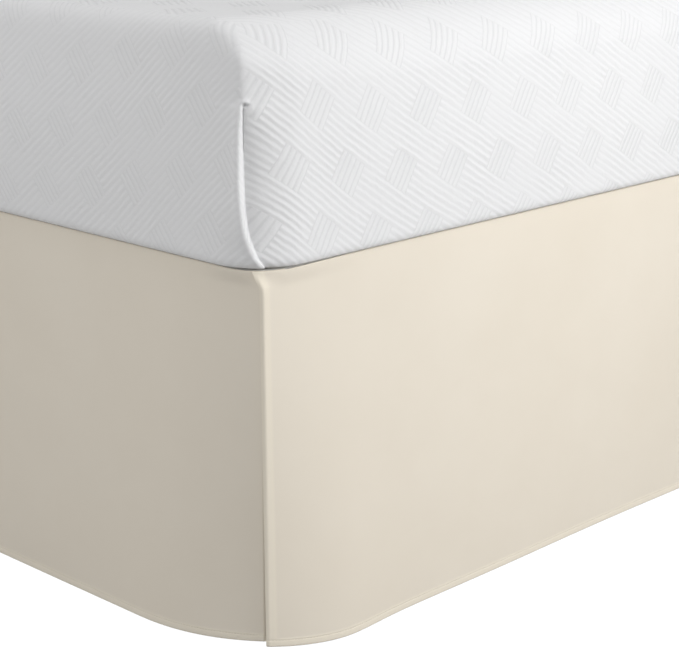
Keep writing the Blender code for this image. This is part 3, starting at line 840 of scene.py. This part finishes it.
# The lower edge, as (inset, height) above the bottom: it overhangs a dark crevice above the skirt's seam
LOWER_EDGE = (
    (0.0130, 0.0), (0.0128, 0.0006), (0.0122, 0.0012), (0.0110, 0.0016), (0.0090, 0.0019),
    (0.0068, 0.0020), (0.0052, 0.0022), (0.0043, 0.0025), (0.0037, 0.0028), (0.0031, 0.0032),
    (0.0025, 0.0037), (0.0018, 0.0045), (0.0010, 0.0057), (0.0004, 0.0073), (0.0, 0.0095),
)
TOP_LEVEL = 0.5645  # the quilting of the top begins above this
# The crown of the top: inset, share of its height
CROWN = ((0.055, 0.0), (0.13, 0.45), (0.30, 0.85), (0.52, 1.0), (0.72, 1.0))


def mattress_levels():
    """Rows of inset and height, each for the long sides and for the others, up and in to the middle."""
    top = MATTRESS_TOP - TOP_CROWN
    side = [(inset, MATTRESS_BOTTOM + rise) for inset, rise in LOWER_EDGE]
    low, high = side[-1][1], top - TOP_TURN
    side += [(0.0, height) for height in np.arange(low + 0.0035, 0.490, 0.0045)]
    side += [(0.0, height) for height in np.arange(0.4920, high - 0.0005, 0.0012)]
    angle = np.radians(np.linspace(0, 90, 23))
    cosine, sine = np.maximum(np.cos(angle), 0.0), np.sin(angle)
    turn = [TOP_TURN * (1 - cosine ** (2 / power)) for power in SQUARENESS]
    turn += [high + TOP_TURN * sine ** (2 / power) for power in SQUARENESS]
    insets = np.array([0.063, 0.072, 0.082, 0.094, 0.108, 0.124, *np.arange(0.142, 0.70, 0.024)])
    crown = np.stack([insets, top + TOP_CROWN * np.interp(insets, *zip(*CROWN))], axis=1)
    return np.concatenate([np.repeat(side, 2, axis=1), np.stack(turn, axis=1), np.repeat(crown, 2, axis=1)])


def soft_swell(x, y):
    """Slow unevenness of the padding and the cover, in metres."""
    swell = 0.0010 * np.sin(x * 9.1 + 1.3 * np.sin(y * 4.3)) * np.sin(y * 7.7 + 0.8)
    return swell + 0.0006 * np.sin(x * 23 + y * 17 + 1.1) * np.sin(y * 19 - x * 6)


# Each face's quilting: degrees of the channels far from the corner, degrees more beside it, where that
# is greatest and over what width, stretch along the channels, and a point that is the middle of a group
FACE_QUILT = {
    "foot": (29.5, 9.0, 0.03, 0.11, 1.00, (0.2022, 0.0955)),
    "right": (35.5, 7.0, 0.10, 0.09, 1.07, (0.1500, 0.0700)),
    "head": (29.5, 0.0, 0.0, 0.1, 1.00, (0.0, 0.05)),
    "left": (35.5, 7.0, 0.10, 0.09, 1.07, (0.1846, 0.1080)),
    "top": (31.0, 0.0, 0.0, 0.1, 1.00, (0.0, 0.05)),
}


def quilt_place(points, face):
    """Flat (along, across) places of the basket quilting on a face of the cover, in metres."""
    base, more, where, width, stretch, group = FACE_QUILT[face]
    x, y, height = np.moveaxis(points, -1, 0)
    right = (y + HALF_LENGTH) if face in ("left", "right") else (x + HALF_WIDTH)
    down = -(y + HALF_LENGTH) if face == "top" else MATTRESS_TOP - height
    fine = np.linspace(-0.1, 2.2, 1151)
    slope = np.tan(np.radians(base + more * hump(fine, where, width)))
    run = np.concatenate(([0.0], np.cumsum((slope[1:] + slope[:-1]) / 2 * np.diff(fine))))
    cosine, sine = math.cos(math.radians(base)), math.sin(math.radians(base))

    def flat(at_right, at_down):
        across = (at_down - np.interp(at_right, fine, run)) * cosine
        along = at_right * cosine + at_down * sine
        return np.stack([along * stretch, across], axis=-1)

    return flat(right, down) - flat(*group) + BAND / 2


def mattress(look):
    """The padded body: its rings from the crevice at the lower edge to the middle of the top."""
    plan = ring_plan()
    levels = mattress_levels()
    count, rows = len(plan), len(levels)
    folds = [plan.index(("turn", corner, 0.0)) for corner in range(4)]
    rings, heights = [], []
    for inset_x, inset_y, height_x, height_y in levels:
        height = (height_x + height_y) / 2
        inset = (inset_x + inset_y) / 2
        rise = min((height - MATTRESS_BOTTOM) / (MATTRESS_TOP - TOP_CROWN - MATTRESS_BOTTOM), 1.0)
        bows = [crown * math.sin(math.pi * rise) if inset < 0.056 else 0.0 for crown in SIDE_CROWNS]
        ring, outward, turned = ring_points(
            plan, HALF_WIDTH - inset_x, HALF_LENGTH - inset_y, MATTRESS_CORNER - inset, height, bows
        )
        run = running(ring)
        offset = np.zeros(count)
        for corner, way in ((0, -1), (3, 1)):
            here = np.array([kind == "turn" and index == corner for kind, index, _ in plan])
            away = way * (run - run[folds[corner]])
            offset[here] = corner_offset(turned[here], away[here], height)
        rings.append(ring + outward * offset[:, None])
        share = outward[:, 0] ** 2
        heights.append(height_x * share + height_y * (1 - share))
    flat = np.stack(rings, axis=1)
    height = np.stack(heights, axis=1)
    x, y = flat[..., 0], flat[..., 1]
    inset = levels[:, :2].mean(axis=1)
    height = height + (soft_swell(x, y) - 0.0010) * eased((inset - 0.03) / 0.08)
    vertices = np.stack([x, y, height], axis=2)
    quads = grid_quads(count, rows, closed=True)

    # Each face's quilting has its own flat place, so the places are set face by face
    corners = vertices.reshape(-1, 3)[quads]
    face = np.searchsorted(folds, quads[:, 0] // rows, side="right") % 4
    face[quads[:, 0] % rows >= np.argmax(levels[:, 3] > TOP_LEVEL)] = 4
    uvs = np.zeros((len(quads), 4, 2))
    for index, name in enumerate(FACE_QUILT):
        uvs[face == index] = quilt_place(corners[face == index], name)
    return build_mesh("quilted_mattress", vertices, quads, look, uvs, ring_caps(count, rows), uvs)


# The padded foundation and its piping


def rounded_loop(half_x, half_y, radius, steps, side_steps):
    """Points round a rectangle with round corners; side_steps are for the long and the short sides."""
    points = []
    for corner, first in enumerate(FIRST_ANGLES):
        centre, start, end, _ = corner_and_side(corner, half_x, half_y, radius)
        for angle in np.radians(np.linspace(first, first + 90, steps)):
            points.append(centre + radius * np.array((math.cos(angle), math.sin(angle))))
        count = side_steps[corner % 2]
        points += [start + (end - start) * step / count for step in range(1, count)]
    return np.array(points)


def stacked_loops(levels, half_x, half_y, corner, side_steps):
    """A grid (round, up, 3) of rounded rectangles, one for each (inset, height)."""
    loops = []
    for inset, height in levels:
        radius = max(corner - inset, SMALLEST_CORNER)
        loop = rounded_loop(half_x - inset, half_y - inset, radius, 10, side_steps)
        loops.append(np.column_stack([loop, np.full(len(loop), height)]))
    return np.stack(loops, axis=1)


PAD_INSET = 0.010  # of the foundation's flat faces from its plan
PAD_TURN = 0.006  # how far its edges turn in
PAD_RISE = 0.008
PAD_SIDE = 0.0035
PAD_BULGE = 0.0030
PIPE_RADIUS = 0.0034
PIPE_INSET = 0.0042
PIPE_SIDES = 10


def foundation(look):
    """A padded box whose border bulges a little between its piped edges."""
    low, high = FOUNDATION_BOTTOM, FOUNDATION_TOP
    turn = [(math.sin(angle), math.cos(angle)) for angle in np.radians(np.linspace(0, 90, 5))]
    levels = [(PAD_INSET - PAD_TURN * sine, low + PAD_RISE * (1 - cosine)) for sine, cosine in turn]
    for share in np.linspace(0.0, 1.0, 15)[1:-1]:
        height = low + PAD_INSET + (high - low - 2 * PAD_INSET) * share
        levels.append((PAD_SIDE - PAD_BULGE * math.sin(math.pi * share), height))
    levels += [(PAD_INSET - PAD_TURN * cosine, high - PAD_RISE * (1 - sine)) for sine, cosine in turn]
    grid = stacked_loops(levels, *BASE_HALVES, FOUNDATION_CORNER, (30, 22))
    count, rows = grid.shape[:2]
    quads = grid_quads(count, rows, closed=True)
    column = quads // rows
    side = grid[:, 6]
    run = running(side)
    last = run[-1] + np.linalg.norm(side[-1] - side[-2])
    wrapped_run = np.where((column == 0) & (column[:, :1] == count - 1), last, run[column])
    uvs = np.stack([wrapped_run, grid[:, :, 2].reshape(-1)[quads]], axis=-1)
    return build_mesh("padded_foundation", grid, quads, look, uvs, ring_caps(count, rows))


def piping(name, height, look):
    """A round piped edge that runs right round the foundation."""
    half_x, half_y = (half - PIPE_INSET for half in BASE_HALVES)
    ring = rounded_loop(half_x, half_y, FOUNDATION_CORNER - PIPE_INSET, 16, (48, 34))
    count = len(ring)
    ahead = unit(np.roll(ring, -1, axis=0) - np.roll(ring, 1, axis=0))
    out = np.stack([ahead[:, 1], -ahead[:, 0]], axis=1)
    grid = np.zeros((count, PIPE_SIDES, 3))
    for step in range(PIPE_SIDES):
        angle = 2 * math.pi * step / PIPE_SIDES
        grid[:, step, :2] = ring + out * PIPE_RADIUS * math.cos(angle)
        grid[:, step, 2] = height + PIPE_RADIUS * math.sin(angle)
    quads = grid_quads(count, PIPE_SIDES + 1, closed=True)
    column, side = quads // (PIPE_SIDES + 1), quads % (PIPE_SIDES + 1)
    quads = column * PIPE_SIDES + side % PIPE_SIDES
    uvs = np.stack([running(ring)[column], side * 0.002], axis=-1)
    return face_up(build_mesh(name, grid, quads, look, uvs))


def deck(look):
    """The sheet that lies on the foundation, a little uneven, with a turned edge."""
    half_x, half_y = (half + DECK_REACH for half in BASE_HALVES)
    bottom, top = FOUNDATION_TOP + 0.0004, FOUNDATION_TOP + 0.0017
    levels = [(0.0006, bottom), (0.0, (bottom + top) / 2), (0.0006, top), (0.010, top)]
    levels += [(inset, top - 0.0003) for inset in (0.0105, 0.03, 0.10, 0.30, 0.60)]
    grid = stacked_loops(levels, half_x, half_y, DECK_CORNER + DECK_REACH, (40, 30))
    lying = grid[:, 5:]
    lying[..., 2] += 0.0001 * np.sin(lying[..., 0] * 31 + lying[..., 1] * 17)
    size = grid.shape[:2]
    uvs = grid[..., :2].reshape(-1, 2)
    return build_mesh("deck_sheet", grid, grid_quads(*size, closed=True), look, uvs, ring_caps(*size))


# Studio

FLOOR_COLOUR = (0.27, 0.27, 0.27)
FLOOR_GLOW = 1.0
FLOOR_HALF = 30.0
WORLD_ABOVE = 0.335
WORLD_BELOW = 0.15
HORIZON_BLUR = 0.15
# Soft boxes beside the bed: name, place, the point that it is turned to, watts
SOFT_BOX_SIZE = 0.9
SOFT_BOXES = (
    ("box_at_side", (-2.00, -0.70, 0.95), (-0.762, -0.75, 0.25), 5.9),
    ("box_at_foot", (-0.20, -2.30, 0.95), (-0.40, -1.016, 0.25), 16.3),
)
# Suns: name, heading in degrees from +X towards +Y, degrees down, strength, spread
SUNS = (("fill", 45.0, 8.0, 0.235, 50.0), ("back", -90.0, 50.0, 0.75, 50.0))
CAMERA_PLACE = (-1.7727, -2.1006, 0.7375)
CAMERA_HEADING = (44.39, 15.55)
CAMERA_LENS = 98.45


def heading(turn, down):
    """A direction from degrees turned from +X towards +Y and degrees below level."""
    turn, down = math.radians(turn), math.radians(down)
    return Vector((math.cos(turn) * math.cos(down), math.sin(turn) * math.cos(down), -math.sin(down)))


def aimed(name, data, towards):
    """A light or camera that looks along a direction."""
    made = bpy.data.objects.new(name, data)
    made.rotation_mode = "QUATERNION"
    made.rotation_quaternion = towards.to_track_quat("-Z", "Y")
    bpy.context.collection.objects.link(made)
    return made


def floor_plane(name, level, look):
    """A wide plane of the studio's floor."""
    signs = ((-1, -1), (1, -1), (1, 1), (-1, 1))
    corners = np.array([(x * FLOOR_HALF, y * FLOOR_HALF, level) for x, y in signs])
    made = build_mesh(name, corners, np.array([(0, 1, 2, 3)]), look.material)
    return made


def studio():
    """A bright floor that the camera sees, one below it that throws light back up, and soft lights."""
    seen_look = Look("pale_floor", (0.86, 0.86, 0.86), 0.9, Emission_Strength=FLOOR_GLOW)
    grain = seen_look.noise(seen_look.place(), 40.0)
    seen_look.done(None, seen_look.ranged(grain, 0.0, 1.0, 0.86, 0.94), None)
    floor = floor_plane("floor", -0.0003, seen_look)
    floor.visible_diffuse = False
    floor.visible_shadow = False
    below = floor_plane("floor_below", -0.0010, Look("floor_below", FLOOR_COLOUR, 0.9))
    below.visible_camera = False

    world = bpy.data.worlds.new("studio")
    bpy.context.scene.world = world
    world.use_nodes = True
    tree = world.node_tree
    background = tree.nodes["Background"]
    place = tree.nodes.new("ShaderNodeTexCoord")
    parts = tree.nodes.new("ShaderNodeSeparateXYZ")
    level = tree.nodes.new("ShaderNodeMapRange")
    for index, value in enumerate((-HORIZON_BLUR, HORIZON_BLUR, WORLD_BELOW, WORLD_ABOVE), 1):
        level.inputs[index].default_value = value
    tree.links.new(place.outputs["Generated"], parts.inputs[0])
    tree.links.new(parts.outputs[2], level.inputs[0])
    tree.links.new(level.outputs[0], background.inputs["Strength"])
    background.inputs["Color"].default_value = (1.0, 1.0, 1.0, 1.0)

    for name, place, aim, watts in SOFT_BOXES:
        light = bpy.data.lights.new(name, "AREA")
        light.shape = "DISK"
        light.size = SOFT_BOX_SIZE
        light.energy = watts
        lamp = aimed(name, light, Vector(aim) - Vector(place))
        lamp.location = place
        lamp.visible_camera = False
    for name, turn, down, strength, spread in SUNS:
        light = bpy.data.lights.new(name, "SUN")
        light.energy = strength
        light.angle = math.radians(spread)
        aimed(name, light, heading(turn, down))


def camera():
    data = bpy.data.cameras.new("camera")
    data.lens = CAMERA_LENS
    made = aimed("camera", data, heading(*CAMERA_HEADING))
    made.location = CAMERA_PLACE
    bpy.context.scene.camera = made


def main():
    bpy.context.scene.view_settings.view_transform = "Standard"
    camera()
    studio()

    cloth = skirt_look()
    thread = thread_look((0.80, 0.73, 0.61))
    for name, piece_name in (
        ("side_panel_left", "skirt_side_left"),
        ("side_panel_right", "skirt_side_right"),
        ("foot_panel", "skirt_foot"),
    ):
        made, front, rise, outward = panel(name, piece_name, cloth)
        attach(made, "root")
        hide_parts(name)
        sewn = hem_stitches(piece_name + "_hem_stitches", front, rise, outward, thread)
        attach(sewn, "root")

    lying = deck(plain_cloth_look("deck_cloth", (0.76, 0.74, 0.70), (0.82, 0.80, 0.76), 0.0007))
    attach(lying, "root")
    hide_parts("deck")

    bed = mattress(cover_look())
    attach(bed, "root")
    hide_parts("mattress")

    ticking = plain_cloth_look("foundation_ticking", (0.66, 0.65, 0.63), (0.77, 0.76, 0.74), 0.0011)
    base = foundation(ticking)
    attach(base, "root")
    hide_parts("foundation")
    tape = plain_cloth_look("piping_tape", (0.70, 0.69, 0.67), (0.80, 0.79, 0.77), 0.0006)
    for name, height in (
        ("foundation_piping_top", FOUNDATION_TOP - PIPE_INSET),
        ("foundation_piping_bottom", FOUNDATION_BOTTOM + PIPE_INSET),
    ):
        pipe = piping(name, height, tape)
        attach(pipe, "root")

    metal, plastic = painted_metal_look(), moulded_plastic_look()
    for name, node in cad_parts.items():
        if "rail" in name:
            node.data.materials[0] = metal
        elif name.startswith("leg"):
            node.data.materials[0] = plastic


main()
